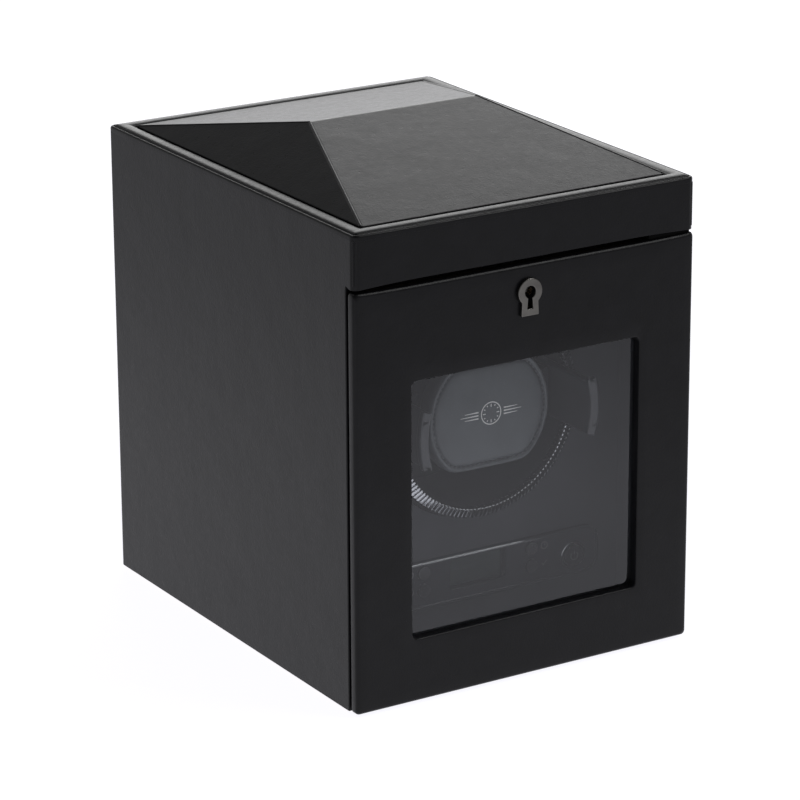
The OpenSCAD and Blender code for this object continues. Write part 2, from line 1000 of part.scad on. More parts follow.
// A leaf's plate, tongues and knuckles; y is the plate's range
module leaf(x0, y, tongues, bore) {
    for (mid = hinge_zs) {
        low = mid - hinge_len / 2;
        difference() {
            union() {
                span([x0, hinge_x - 1.5], y, [low, low + hinge_len]);
                for (k = tongues) {
                    z0 = low + k * hinge_len / 3 + 0.05;
                    span([hinge_x - 1.6, hinge_x], y, [z0, z0 + knuckle_len]);
                    cylinder_at(z0, knuckle_len, hinge_r);
                }
            }
            cylinder_at(low - 1, hinge_len + 2, bore);
        }
    }
}

module door_hinge_leaves() {
    color([0.35, 0.34, 0.33])
        leaf(inner_frame_x + 0.5, [door_t, door_t + leaf_t], [1], hinge_pin_r + 0.05);
}

module case_hinge_leaves() {
    color([0.35, 0.34, 0.33])
        leaf(inner_x + 1, [case_y - leaf_t, case_y], [0, 2], hinge_pin_r);
}

module hinge_pins() {
    color([0.6, 0.6, 0.6])
        for (mid = hinge_zs)
            cylinder_at(mid - hinge_len / 2, hinge_len, hinge_pin_r);
}

module door_hinge_screws() {
    color([0.35, 0.34, 0.33])
        for (mid = hinge_zs, z = [-8, 8])
            rod(73.2, mid + z, 1.1, [door_t + leaf_t, door_t + leaf_t + 0.3]);
}

module case_hinge_screws() {
    color([0.35, 0.34, 0.33])
        for (mid = hinge_zs, z = [-8, 8])
            rod(74, mid + z, 1.1, [case_y - leaf_t - 0.3, case_y - leaf_t]);
}

module door_bumpers() {
    color([0.1, 0.1, 0.1])
        union() {
            for (z = [22, 158])
                rod(-75, z, 2.2, [door_t + 0.4, case_y]);
            span([58, 77.6], [1.6, case_y], [door_top + 0.25, header_z]);
        }
}

side_panel_left();
side_panel_right();
back_panel();
bottom_panel();
top_panel();
header_board();
case_leather();
top_rim();
roof_core();
roof_leather();
base_felt();
baffle();
cavity_lining();
fascia();
display_lens();
lcd_module();
control_board();
tact_switches();
power_ring();
dc_jack();
jack_lead();
motor_lead();
drum_bracket();
shaft_bushings();
bracket_screws();
gearbox();
motor();
strike_plate();
case_hinge_leaves();
hinge_pins();
case_hinge_screws();
door_bumpers();
door_board();
door_leather();
door_glass();
door_inner_frame();
escutcheon();
lock_case();
lock_cover();
lock_spring();
lock_bolt();
door_hinge_leaves();
door_hinge_screws();
drum_shell();
drum_ring();
drum_arms();
drum_shaft();
drum_gear();
drum_screws();
shaft_clip();
motor_pinion();
cuff_frame();
cuff_pad();
cuff_saddle();
cuff_springs();
mode_button();
turns_button();
delay_button();
set_button();
power_button();
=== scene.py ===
"""Looks for the watch winder box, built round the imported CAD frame.

Lengths in this script are millimetres in the CAD frame: +Z up, the door faces -Y.
Meshes are turned into metres when they are made.
"""
import json
import math

import bmesh
import bpy
from mathutils import Euler, Matrix, Vector
from mathutils.bvhtree import BVHTree


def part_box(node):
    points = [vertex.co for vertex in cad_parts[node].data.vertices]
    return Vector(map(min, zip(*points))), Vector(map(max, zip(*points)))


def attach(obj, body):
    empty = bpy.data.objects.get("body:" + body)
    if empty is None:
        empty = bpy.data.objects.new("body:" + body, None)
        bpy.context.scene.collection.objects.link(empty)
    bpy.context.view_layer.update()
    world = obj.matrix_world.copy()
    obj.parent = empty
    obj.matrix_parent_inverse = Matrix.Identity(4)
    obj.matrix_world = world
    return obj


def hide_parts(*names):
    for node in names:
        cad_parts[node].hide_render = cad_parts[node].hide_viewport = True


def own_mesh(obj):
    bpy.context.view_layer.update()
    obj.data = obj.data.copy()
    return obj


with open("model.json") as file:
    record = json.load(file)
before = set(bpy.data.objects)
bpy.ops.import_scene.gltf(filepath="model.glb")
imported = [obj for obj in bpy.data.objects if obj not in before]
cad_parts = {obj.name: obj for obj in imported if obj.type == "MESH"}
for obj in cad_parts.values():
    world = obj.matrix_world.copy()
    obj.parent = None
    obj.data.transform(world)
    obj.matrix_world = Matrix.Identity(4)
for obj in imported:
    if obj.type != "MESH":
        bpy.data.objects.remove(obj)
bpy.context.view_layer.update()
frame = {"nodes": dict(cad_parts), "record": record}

MM = 0.001
TAU = 2 * math.pi


def extent(node):
    """Lowest and highest corner of a CAD node in millimetres."""
    low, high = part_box(node)
    return low / MM, high / MM


def middle(node):
    """(x, z) of the middle of a CAD node."""
    low, high = extent(node)
    return (low.x + high.x) / 2, (low.z + high.z) / 2


CASE_LOW, CASE_HIGH = extent("case_leather")
DOOR_LOW, DOOR_HIGH = extent("door_leather")
RIM_LOW, RIM_HIGH = extent("top_rim")
ROOF_LOW, ROOF_HIGH = extent("roof_leather")
RING_LOW, RING_HIGH = extent("drum_ring")
PAD_LOW, PAD_HIGH = extent("cuff_pad")
PLATE_LOW, PLATE_HIGH = extent("escutcheon")
GLASS_LOW, GLASS_HIGH = extent("door_glass")
SIDE_LOW, SIDE_HIGH = extent("side_panel_left")
FASCIA_LOW, FASCIA_HIGH = extent("fascia")
BOLT_LOW, BOLT_HIGH = extent("lock_bolt")
CORE_LOW, CORE_HIGH = extent("roof_core")

BACK = CASE_HIGH.y
HALF_W = CASE_HIGH.x
HEADER_Z = extent("header_board")[0].z
DRUM_Z = (RING_LOW.z + RING_HIGH.z) / 2
SKIN = 1.0  # leather's thickness
CASE_CORNER = 3.0  # radius of the case's upright corners
WALL_STEP = 6.0  # from the boards' front at the header back to the leather beside the door
HINGE_ROOM = 0.8  # how much further back the leather lies at the hinge side
PLATE_HEAD = 5.5  # radius of the escutcheon's head, which is round the keyhole's eye
KEY_Z = PLATE_HIGH.z - PLATE_HEAD
GLASS_OVERLAP = 5.7  # how far the glass reaches behind the leather round the window
WINDOW = GLASS_HIGH.x - GLASS_LOW.x - 2 * GLASS_OVERLAP
WINDOW_Z = (GLASS_LOW.z + GLASS_HIGH.z) / 2
FASCIA_CORNER = 6.0  # corner radius of the control fascia
INLET_HOLE = 5.5  # radius


# ---------------------------------------------------------------- meshes

def placed(name, data):
    """A new object in the scene that shows this data."""
    obj = bpy.data.objects.new(name, data)
    bpy.context.scene.collection.objects.link(obj)
    return obj


def finish_mesh(obj, smooth_angle=40):
    """Smooth shading that keeps edges sharper than the angle."""
    mesh = obj.data
    mesh.shade_smooth()
    mesh.set_sharp_from_angle(angle=math.radians(smooth_angle))
    return obj


def mesh_object(name, points, faces, smooth_angle=40):
    mesh = bpy.data.meshes.new(name)
    mesh.from_pydata([Vector(p) * MM for p in points], [], faces)
    mesh.validate()
    bm = bmesh.new()
    bm.from_mesh(mesh)
    bmesh.ops.remove_doubles(bm, verts=bm.verts, dist=1e-7)
    bmesh.ops.recalc_face_normals(bm, faces=bm.faces)
    bm.to_mesh(mesh)
    bm.free()
    return finish_mesh(placed(name, mesh), smooth_angle)


def from_bmesh(name, bm, smooth_angle=40):
    mesh = bpy.data.meshes.new(name)
    bm.to_mesh(mesh)
    bm.free()
    mesh.transform(Matrix.Scale(MM, 4))
    return finish_mesh(placed(name, mesh), smooth_angle)


def loft(loops, ring=False, caps=False):
    """Points and faces of a skin over closed loops of equal length."""
    n = len(loops[0])
    points = [p for loop in loops for p in loop]
    pairs = list(zip(range(len(loops) - 1), range(1, len(loops))))
    if ring:
        pairs.append((len(loops) - 1, 0))
    faces = [
        (a * n + k, a * n + (k + 1) % n, b * n + (k + 1) % n, b * n + k)
        for a, b in pairs
        for k in range(n)
    ]
    if caps:
        faces.append(tuple(range(n)))
        last = (len(loops) - 1) * n
        faces.append(tuple(last + k for k in reversed(range(n))))
    return points, faces


def merged(parts):
    """Points and faces of several meshes together."""
    points, faces = [], []
    for part_points, part_faces in parts:
        base = len(points)
        points += part_points
        faces += [tuple(base + v for v in f) for f in part_faces]
    return points, faces


def circle(x, y, radius, steps):
    """Points round a circle."""
    turns = [TAU * k / steps for k in range(steps)]
    return [(x + radius * math.cos(t), y + radius * math.sin(t)) for t in turns]


def rounded_rect(width, height, radius, corner_steps=6, side_steps=1):
    """Points round a rounded rectangle centred on the origin."""
    centres = [
        (width / 2 - radius, height / 2 - radius, 0),
        (-width / 2 + radius, height / 2 - radius, 90),
        (-width / 2 + radius, -height / 2 + radius, 180),
        (width / 2 - radius, -height / 2 + radius, 270),
    ]
    corners = []
    for cx, cy, start in centres:
        arc = []
        for k in range(corner_steps + 1):
            angle = math.radians(start + 90 * k / corner_steps)
            arc.append((cx + radius * math.cos(angle), cy + radius * math.sin(angle)))
        corners.append(arc)
    points = []
    for k, arc in enumerate(corners):
        points += arc
        a, b = arc[-1], corners[(k + 1) % 4][0]
        for i in range(1, side_steps):
            t = i / side_steps
            points.append((a[0] + (b[0] - a[0]) * t, a[1] + (b[1] - a[1]) * t))
    return points


def quarter(radius, steps=5):
    """(inset, depth) pairs round an edge of that radius, from the face to the side."""
    turns = [math.pi / 2 * k / steps for k in range(steps + 1)]
    return [(radius * (1 - math.sin(t)), radius * (1 - math.cos(t))) for t in turns]


def modifiers_applied(obj):
    """The object with its modifiers worked into its mesh."""
    graph = bpy.context.evaluated_depsgraph_get()
    mesh = bpy.data.meshes.new_from_object(obj.evaluated_get(graph))
    obj.modifiers.clear()
    obj.data = mesh
    return obj


def cut(obj, cutters):
    """The object with every cutter taken away from it."""
    for cutter in cutters:
        change = obj.modifiers.new("cut", "BOOLEAN")
        change.operation = "DIFFERENCE"
        change.solver = "EXACT"
        change.object = cutter
    modifiers_applied(obj)
    for cutter in cutters:
        bpy.data.objects.remove(cutter)
    return obj


def weighted(obj):
    """Flat faces keep their shading beside a rolled edge."""
    change = obj.modifiers.new("weighted_normals", "WEIGHTED_NORMAL")
    change.keep_sharp = True
    return obj


def edge_broken(obj, width):
    """The object with its sharp edges broken by that width."""
    edge = obj.modifiers.new("edge_break", "BEVEL")
    edge.width = width * MM
    edge.segments = 3
    edge.limit_method = "ANGLE"
    edge.angle_limit = math.radians(50)
    edge.use_clamp_overlap = True
    return weighted(obj)


def block(name, low, high):
    x0, y0, z0 = low
    x1, y1, z1 = high
    points = [(x, y, z) for z in (z0, z1) for x, y in ((x0, y0), (x1, y0), (x1, y1), (x0, y1))]
    faces = [
        (0, 3, 2, 1), (4, 5, 6, 7), (0, 1, 5, 4), (1, 2, 6, 5), (2, 3, 7, 6), (3, 0, 4, 7)
    ]
    return mesh_object(name, points, faces)


def prism_xz(name, outline, y0, y1):
    """An outline of (x, z) points standing from y0 to y1."""
    loops = [[(x, y, z) for x, z in outline] for y in (y0, y1)]
    return mesh_object(name, *loft(loops, caps=True))


# ---------------------------------------------------------------- materials

class Nodes:
    """A material's node tree, with short calls for the nodes used here."""

    def __init__(self, name):
        self.material = bpy.data.materials.new(name)
        self.material.use_nodes = True
        self.tree = self.material.node_tree
        self.tree.nodes.clear()
        self.output = self.tree.nodes.new("ShaderNodeOutputMaterial")

    def new(self, kind, inputs=None, **settings):
        node = self.tree.nodes.new(kind)
        for key, value in settings.items():
            setattr(node, key, value)
        for key, value in (inputs or {}).items():
            if isinstance(value, bpy.types.NodeSocket):
                self.tree.links.new(value, node.inputs[key])
            else:
                node.inputs[key].default_value = value
        return node

    def surface(self, socket):
        self.tree.links.new(socket, self.output.inputs["Surface"])
        return self.material

    def place(self):
        return self.new("ShaderNodeTexCoord").outputs["Object"]

    def noise(self, scale, detail=3.0, roughness=0.5, vector=None):
        inputs = {
            "Vector": vector or self.place(), "Scale": scale,
            "Detail": detail, "Roughness": roughness,
        }
        return self.new("ShaderNodeTexNoise", inputs).outputs["Fac"]

    def ramp(self, value, low, high, out_low, out_high):
        inputs = {
            "Value": value, "From Min": low, "From Max": high,
            "To Min": out_low, "To Max": out_high,
        }
        return self.new("ShaderNodeMapRange", inputs).outputs["Result"]

    def mix(self, fac, a, b):
        node = self.new("ShaderNodeMix", data_type="RGBA")
        for index, value in ((0, fac), (6, a), (7, b)):
            if isinstance(value, bpy.types.NodeSocket):
                self.tree.links.new(value, node.inputs[index])
            else:
                node.inputs[index].default_value = value
        return node.outputs[2]

    def bump(self, height, distance, strength=1.0, normal=None):
        inputs = {"Height": height, "Distance": distance, "Strength": strength}
        if normal is not None:
            inputs["Normal"] = normal
        return self.new("ShaderNodeBump", inputs).outputs["Normal"]

    def calc(self, operation, a, b):
        return self.new("ShaderNodeMath", {0: a, 1: b}, operation=operation).outputs[0]

    def vector(self, operation, a, b):
        return self.new("ShaderNodeVectorMath", {0: a, 1: b}, operation=operation).outputs[0]

    def blend(self, a, b, share):
        """Two numbers added, the first by its share and the second by the rest."""
        rest = self.calc("MULTIPLY", b, 1 - share)
        return self.calc("ADD", self.calc("MULTIPLY", a, share), rest)

    def tones(self, value, dark, light, low=0.3, high=0.7):
        """A colour that goes from dark to light as the value goes from low to high."""
        return self.mix(self.ramp(value, low, high, 0.0, 1.0), rgba(*dark), rgba(*light))

    def principled(self, colour, roughness, normal, extra=None):
        inputs = {"Base Color": colour, "Roughness": roughness, "Normal": normal}
        inputs.update(extra or {})
        return self.surface(self.new("ShaderNodeBsdfPrincipled", inputs).outputs[0])


def rgba(r, g, b):
    return (r, g, b, 1.0)


def leather(name, dark, light, rough=(0.27, 0.36), ior=1.26, cell=0.85, depth=0.035):
    """Pebbled leatherette: small rounded cells, finer pores, slow changes of tone and painted shade
    in the creases between the cells.
    """
    n = Nodes(name)
    place = n.place()
    warp = n.new("ShaderNodeTexNoise", {"Vector": place, "Scale": 420.0, "Detail": 2.0})
    warp = n.vector("MULTIPLY", warp.outputs["Color"], (0.0011, 0.0011, 0.0011))
    cells = n.new(
        "ShaderNodeTexVoronoi",
        {"Vector": n.vector("ADD", place, warp), "Scale": 1 / (cell * MM), "Smoothness": 0.6},
        feature="SMOOTH_F1",
    ).outputs["Distance"]
    pores = n.noise(2400.0, 3.0, 0.6, place)
    mottle = n.noise(330.0, 3.0, 0.6, place)
    slack = n.noise(45.0, 2.0, 0.5, place)
    height = n.calc("ADD", n.calc("MULTIPLY", cells, -0.8), n.calc("MULTIPLY", pores, 0.45))
    normal = n.bump(height, depth * MM, 0.9)
    normal = n.bump(mottle, 0.08 * MM, 0.5, normal)
    normal = n.bump(slack, 0.5 * MM, 0.4, normal)
    colour = n.tones(n.noise(95.0, 4.0, 0.6, place), dark, light)
    # painted shade: the creases between the pebbles are darkened, down to half the dark tone
    shade = n.mix(n.ramp(cells, 0.1, 0.8, 0.0, 0.2), colour, rgba(*(c * 0.5 for c in dark)))
    roughness = n.ramp(n.blend(mottle, pores, 0.6), 0.35, 0.65, *rough)
    return n.principled(shade, roughness, normal, {"IOR": ior})


def plastic(name, dark, light, rough, grain=0.0, ior=1.45):
    """Moulded plastic with a faint tone change and, if asked, a spark-eroded grain."""
    n = Nodes(name)
    place = n.place()
    tone = n.noise(140.0, 3.0, 0.5, place)
    fine = n.noise(3200.0, 2.0, 0.6, place)
    roughness = n.ramp(tone, 0.3, 0.7, rough * 0.9, rough * 1.1)
    normal = n.bump(fine, grain * MM, 0.6)
    return n.principled(n.tones(tone, dark, light), roughness, normal, {"IOR": ior})


def metal(name, dark, light, rough, stretch=(1.0, 1.0, 1.0), depth=0.004):
    """Metal with fine tool marks; stretch sets their direction."""
    n = Nodes(name)
    place = n.place()
    marks = n.noise(900.0, 4.0, 0.6, n.vector("MULTIPLY", place, stretch))
    colour = n.tones(n.noise(120.0, 3.0, 0.5, place), dark, light)
    roughness = n.ramp(marks, 0.3, 0.7, rough * 0.8, rough * 1.25)
    return n.principled(colour, roughness, n.bump(marks, depth * MM, 0.5), {"Metallic": 1.0})


def cloth(name, dark, light, scale=2200.0, sheen=0.25):
    """Flocked suede or felt: short fibres with a soft sheen."""
    n = Nodes(name)
    place = n.place()
    fibres = n.noise(scale, 5.0, 0.75, place)
    nap = n.noise(45.0, 2.0, 0.5, place)
    colour = n.tones(n.blend(fibres, nap, 0.7), dark, light, 0.35, 0.65)
    finish = {"IOR": 1.12, "Sheen Weight": sheen, "Sheen Roughness": 0.5}
    return n.principled(colour, 0.92, n.bump(fibres, 0.03 * MM, 0.6), finish)


def wood(name):
    """Board with its grain along Y."""
    n = Nodes(name)
    squeezed = n.vector("MULTIPLY", n.place(), (1.0, 0.12, 1.0))
    rings = n.noise(420.0, 5.0, 0.65, squeezed)
    pores = n.noise(1900.0, 2.0, 0.6, squeezed)
    grain = n.blend(rings, pores, 0.75)
    colour = n.tones(grain, (0.3, 0.19, 0.1), (0.5, 0.36, 0.2), 0.35, 0.65)
    return n.principled(colour, 0.7, n.bump(grain, 0.05 * MM, 0.6))


def pane(name, tint, ior):
    """Clear pane: what is behind it shows through, under one clean reflection."""
    n = Nodes(name)
    clear = n.new("ShaderNodeBsdfTransparent", {"Color": rgba(*tint)})
    shine = n.new("ShaderNodeBsdfAnisotropic", {"Color": rgba(0.95, 0.96, 1.0), "Roughness": 0.0})
    inside = n.new("ShaderNodeNewGeometry").outputs["Backfacing"]
    fresnel = n.new("ShaderNodeFresnel", {"IOR": ior}).outputs[0]
    share = n.calc("MULTIPLY", fresnel, n.calc("SUBTRACT", 1.0, inside))
    mixed = n.new("ShaderNodeMixShader", {0: share, 1: clear.outputs[0], 2: shine.outputs[0]})
    return n.surface(mixed.outputs[0])


LOOKS = {
    "board": wood("board"),
    "black_leather": leather("black_leather", (0.0033, 0.0033, 0.0041), (0.0053, 0.0053, 0.0065)),
    "felt": cloth("felt", (0.012, 0.012, 0.012), (0.03, 0.03, 0.03), 1500.0),
    "suede_lining": cloth(
        "suede_lining", (0.03, 0.03, 0.034), (0.05, 0.05, 0.055), 1500.0, 0.0
    ),
    "gloss_black": plastic("gloss_black", (0.02, 0.02, 0.023), (0.025, 0.025, 0.029), 0.1),
    "display_window": pane("display_window", (0.7, 0.72, 0.72), 1.45),
    "display": plastic("display", (0.11, 0.12, 0.11), (0.14, 0.15, 0.14), 0.4),
    "circuit_board": plastic("circuit_board", (0.01, 0.07, 0.03), (0.015, 0.1, 0.04), 0.35),
    "black_plastic": plastic(
        "black_plastic", (0.018, 0.018, 0.021), (0.025, 0.025, 0.028), 0.34, 0.01
    ),
    "button_black": plastic(
        "button_black", (0.012, 0.012, 0.013), (0.018, 0.018, 0.019), 0.3, 0.01
    ),
    "chrome_trim": metal("chrome_trim", (0.55, 0.55, 0.57), (0.65, 0.65, 0.67), 0.12),
    "lead_black": plastic("lead_black", (0.008, 0.008, 0.008), (0.014, 0.014, 0.014), 0.5),
    "lead_red": plastic("lead_red", (0.2, 0.01, 0.01), (0.28, 0.015, 0.012), 0.45),
    "steel": metal("steel", (0.42, 0.43, 0.45), (0.55, 0.56, 0.58), 0.3, (1.0, 1.0, 0.1)),
    "motor_can": plastic("motor_can", (0.03, 0.03, 0.035), (0.05, 0.05, 0.056), 0.35, 0.01),
    "bronze": metal("bronze", (0.42, 0.25, 0.1), (0.55, 0.34, 0.15), 0.45, depth=0.01),
    "brass": metal("brass", (0.55, 0.4, 0.17), (0.66, 0.5, 0.24), 0.28, (1.0, 1.0, 0.1)),
    "gunmetal": metal("gunmetal", (0.105, 0.1, 0.095), (0.15, 0.145, 0.135), 0.3, (0.15, 1.0, 1.0)),
    "rubber": plastic("rubber", (0.003, 0.003, 0.003), (0.005, 0.005, 0.005), 0.8, 0.02, 1.12),
    "door_glass": pane("door_glass", (0.95, 0.96, 0.97), 1.52),
    "ring_metal": metal("ring_metal", (0.42, 0.42, 0.43), (0.5, 0.5, 0.51), 0.14),
    "acetal": plastic("acetal", (0.6, 0.59, 0.54), (0.7, 0.69, 0.63), 0.4),
    "pad_leather": leather(
        "pad_leather", (0.062, 0.066, 0.07), (0.078, 0.083, 0.088), (0.45, 0.55), 1.38, 0.6, 0.02
    ),
    "print_silver": plastic("print_silver", (0.5, 0.49, 0.47), (0.58, 0.57, 0.55), 0.4),
    "print_grey": plastic("print_grey", (0.1, 0.1, 0.1), (0.13, 0.13, 0.13), 0.5),
    "thread": cloth("thread", (0.08, 0.08, 0.085), (0.14, 0.14, 0.15), 3000.0, 0.3),
}


def dress(obj, look):
    """Gives an object its material."""
    obj.data.materials.clear()
    obj.data.materials.append(LOOKS[look])
    return obj


def piece(obj, body, look, replaced=()):
    """Gives a new piece its finish and fixes it to its CAD body."""
    dress(obj, look)
    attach(obj, body)
    if replaced:
        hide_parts(*replaced)
    return obj


# ---------------------------------------------------------------- CAD nodes that stay

# Width of the edge break on the nodes that are seen, in millimetres
EDGE_BREAKS = {
    "fascia": 0.3, "display_lens": 0.25, "power_ring": 0.25, "drum_arms": 0.9,
    "drum_shell": 0.35, "cuff_frame": 1.0, "cuff_saddle": 1.2, "dc_jack": 0.5,
    "door_inner_frame": 0.6, "strike_plate": 0.2, "lock_cover": 0.2, "lock_bolt": 0.25,
    "door_bumpers": 0.5, "drum_bracket": 0.3, "gearbox": 0.6, "motor": 0.8,
    "mode_button": 0.4, "turns_button": 0.4, "delay_button": 0.4, "set_button": 0.4,
    "power_button": 0.6, "drum_shaft": 0.3, "case_hinge_leaves": 0.15,
    "door_hinge_leaves": 0.15, "drum_screws": 0.3, "bracket_screws": 0.3, "base_felt": 0.5,
}


def dress_cad():
    """Every CAD node gets its material, and the ones that are seen get softer edges."""
    for entry in frame["record"]["subparts"]:
        obj = frame["nodes"][entry["node"]]
        dress(obj, entry["material_slot"])
        if entry["node"] in EDGE_BREAKS:
            weld = obj.modifiers.new("weld", "WELD")
            weld.merge_threshold = 0.002 * MM
            edge_broken(obj, EDGE_BREAKS[entry["node"]])


# ---------------------------------------------------------------- case

def end_bow(x):
    """From 0 to 1: how the header and door leather bow towards their gap near its ends."""
    straight = 48.0
    return max(0.0, (abs(x) - straight) / (HALF_W - straight)) ** 2


def case_cover():
    """Leather over the walls and header, turned over the front edges of the side boards and
    in behind them. It stands fuller at the left than at the right, where the hinges lie."""
    front = CASE_LOW.y
    step_y = SIDE_LOW.y + WALL_STEP - HINGE_ROOM
    under = HEADER_Z
    header_bow = 0.9
    outline = [
        (step_y, CASE_LOW.z), (BACK, CASE_LOW.z), (BACK, CASE_HIGH.z),
        (front, CASE_HIGH.z), (front, under), (step_y, under),
    ]
    n = len(outline)
    bm = bmesh.new()
    ends = [[bm.verts.new((x, y, z)) for y, z in outline] for x in (-HALF_W, HALF_W)]
    bm.faces.new(ends[0])
    bm.faces.new(list(reversed(ends[1])))
    for k in range(n):
        j = (k + 1) % n
        bm.faces.new((ends[0][j], ends[0][k], ends[1][k], ends[1][j]))
    bmesh.ops.recalc_face_normals(bm, faces=bm.faces)

    def rolled(chosen, radius, segments):
        bm.normal_update()
        edges = [e for e in bm.edges if e.is_convex and chosen(e)]
        bmesh.ops.bevel(
            bm, geom=edges, offset=radius, segments=segments, profile=0.5, affect="EDGES",
            clamp_overlap=True,
        )

    def upright(edge):
        return abs((edge.verts[0].co - edge.verts[1].co).normalized().z) > 0.99

    def at_step(edge):
        return all(abs(v.co.y - step_y) < 0.01 for v in edge.verts)

    def split(point, normal):
        bmesh.ops.bisect_plane(
            bm, geom=bm.verts[:] + bm.edges[:] + bm.faces[:], plane_co=point, plane_no=normal
        )

    rolled(lambda e: upright(e) and not at_step(e), CASE_CORNER, 7)
    # The step's rolls stay full up to the door's top edge and end just above it
    split((0, 0, under - 1.9), (0, 0, 1))
    rolled(lambda e: upright(e) and at_step(e) and e.verts[0].co.x < 0, 0.5, 4)
    rolled(lambda e: upright(e) and at_step(e) and e.verts[0].co.x > 0, 2.4, 6)
    rolled(
        lambda e: e.calc_face_angle(0) > math.radians(50)
        and max(v.co.z for v in e.verts) < CASE_HIGH.z - 1, 1.2, 4,
    )
    # Cuts across the header, so that its lower edge can bow
    for x in range(49, 74, 6):
        split((-x, 0, 0), (1, 0, 0))
        split((x, 0, 0), (1, 0, 0))
    bmesh.ops.recalc_face_normals(bm, faces=bm.faces)
    cover = from_bmesh("case_cover", bm, 50)
    board = HALF_W - SKIN
    inner = board - (SIDE_HIGH.x - SIDE_LOW.x)
    floor = extent("bottom_panel")[1].z
    far = 20.0
    cutters = [
        block(
            "cut_walls", (-board, step_y + SKIN, CASE_LOW.z - far),
            (board, BACK - SKIN, CASE_HIGH.z + far),
        ),
        block(
            "cut_header", (-board, front + SKIN, under + SKIN),
            (board, BACK - SKIN, CASE_HIGH.z + far),
        ),
        block(
            "cut_door", (-inner, step_y - 0.6, floor),
            (inner, step_y + 3 * SKIN, under - 0.002),
        ),
        block(
            "cut_bolt", (BOLT_LOW.x - 0.3, BOLT_LOW.y - 0.3, under - 3),
            (BOLT_HIGH.x + 0.3, BOLT_HIGH.y + 0.3, under + 3),
        ),
        prism_xz(
            "cut_inlet", circle(*middle("dc_jack"), INLET_HOLE, 32), BACK - 2 * SKIN, BACK + SKIN
        ),
    ]
    cut(cover, cutters)
    for vert in cover.data.vertices:
        x, y, z = vert.co / MM
        if y < step_y - 0.1 and under - 0.1 < z < under + 3.0:
            vert.co.z -= header_bow * end_bow(x) * MM
        if x > 60 and step_y - 0.05 < y < step_y + 2.5 and z < under + 0.01:
            vert.co.y += HINGE_ROOM * MM
    folds = []
    fold, sunk = 0.52, 0.2
    reach = CASE_CORNER - fold + sunk
    for side in (-1, 1):
        for turn in (35, 55):
            c, t = math.cos(math.radians(turn)), math.sin(math.radians(turn))
            x, y = side * (HALF_W - CASE_CORNER + reach * c), front + CASE_CORNER - reach * t
            rings = [
                [(*point, z) for point in circle(x, y, fold, 12)]
                for z in (under + 0.7, under + 9, CASE_HIGH.z - 0.1)
            ]
            folds.append(mesh_object("fold", *loft(rings, caps=True)))
    behind = extent("cavity_lining")[0].y
    thin = 0.3
    right_y = step_y + HINGE_ROOM
    turned_in = [
        block("turn", (-inner, step_y + thin, floor), (-inner + thin, behind, under)),
        block("turn", (inner - thin, right_y + thin, floor), (inner, behind, under)),
        block("turn", (-inner, right_y, floor), (inner, behind, floor + thin)),
    ]
    joined(cover, folds + turned_in)
    finish_mesh(cover, 50)
    return piece(weighted(cover), "case", "black_leather", ["case_leather"])


def rim_cover():
    """Leather-wrapped rim: a crowned top, a pressed line and a rolled outer edge."""
    top, foot = RIM_HIGH.z, RIM_LOW.z + 0.02
    width, crown, drop = 8.0, 1.7, 0.6
    outer, inner = 1.0, 0.4
    shoulder = top - outer - 0.7
    profile = [(0.0, foot), (0.0, shoulder)]
    for k in range(1, 8):
        turn = math.pi / 2 * k / 8
        profile.append((outer * (1 - math.cos(turn)), shoulder + outer * math.sin(turn)))
    profile += [(1.1, top - 0.75), (1.3, top - 1.15), (1.45, top - 1.2), (1.6, top - 0.85)]
    for k in range(13):
        t = k / 12
        profile.append((crown + t * (width - inner - crown), top - drop * abs(2 * t - 1) ** 3.0))
    for k in range(1, 5):
        turn = math.pi / 2 * k / 4
        profile.append(
            (width - inner * (1 - math.sin(turn)), top - drop - inner * (1 - math.cos(turn)))
        )
    profile += [(width, foot)]
    size_x = RIM_HIGH.x - RIM_LOW.x
    size_y = RIM_HIGH.y - RIM_LOW.y
    mid_y = (RIM_HIGH.y + RIM_LOW.y) / 2
    loops = []
    for inset, z in profile:
        radius = max(CASE_CORNER - inset, 0.45)
        plan = rounded_rect(size_x - 2 * inset, size_y - 2 * inset, radius, 8, 12)
        loops.append([(x, mid_y + y, z) for x, y in plan])
    rim = mesh_object("rim_cover", *loft(loops, ring=True), smooth_angle=60)
    return piece(rim, "case", "black_leather", ["top_rim"])


def tube(path, radius, sides=10):
    """Points and faces of a round bead along a path, closed at its ends."""
    rings = []
    for k, point in enumerate(path):
        along = (path[min(k + 1, len(path) - 1)] - path[max(k - 1, 0)]).normalized()
        side = along.cross(Vector((0, 0, 1))).normalized()
        up = side.cross(along)
        rings.append([tuple(point + a * side + b * up) for a, b in circle(0, 0, radius, sides)])
    return loft(rings, caps=True)


def joined(obj, others):
    """The object with the others' meshes added to its own."""
    bm = bmesh.new()
    bm.from_mesh(obj.data)
    for other in others:
        bm.from_mesh(other.data)
        bpy.data.objects.remove(other)
    bm.to_mesh(obj.data)
    bm.free()
    return obj


